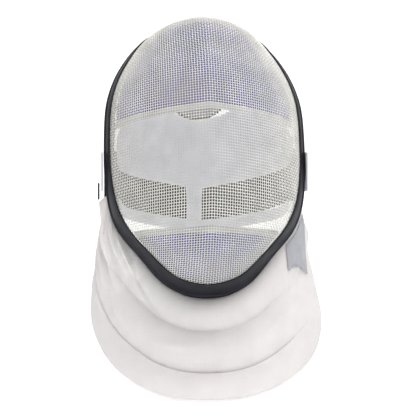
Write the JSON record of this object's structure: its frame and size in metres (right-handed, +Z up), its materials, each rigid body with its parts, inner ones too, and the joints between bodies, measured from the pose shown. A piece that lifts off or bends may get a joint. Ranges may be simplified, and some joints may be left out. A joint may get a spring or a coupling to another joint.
{
  "type": "fencing mask",
  "caption": "Fencing mask in its worn form: a woven wire bowl with a bound edge, a padded bib, quilted linings, a rear tongue, a head harness and an elastic back strap.",
  "frame": {"origin": "the spot on the crown of the head that carries the mask, under the top of the bowl", "axes": "+Z up as worn, -Y the way the wearer looks, +X to the right of someone facing the mask"},
  "size_m": [0.2472, 0.2157, 0.4093],
  "materials": {
    "wire": "satin enamel on woven steel wire",
    "trim": "matte black vinyl binding",
    "bib_cloth": "white padded cloth, quilted",
    "ribbon": "silver-grey woven ribbon",
    "lining": "royal blue padded cloth",
    "binding": "light grey webbing",
    "tongue_cloth": "grey cloth over spring steel",
    "white_elastic": "white elastic cloth",
    "black_elastic": "black woven elastic"
  },
  "bodies": {
    "root": {"wire_mesh": "wire", "rim_trim": "trim", "bib": "bib_cloth", "label": "ribbon", "forehead_lining": "lining", "forehead_binding": "binding", "chin_lining": "lining", "chin_binding": "binding", "tongue": "tongue_cloth", "head_harness": "white_elastic", "back_strap": "black_elastic", "strap_tab_left": "binding", "strap_tab_right": "binding", "strap_end_left": "black_elastic"}
  },
  "joints": []
}
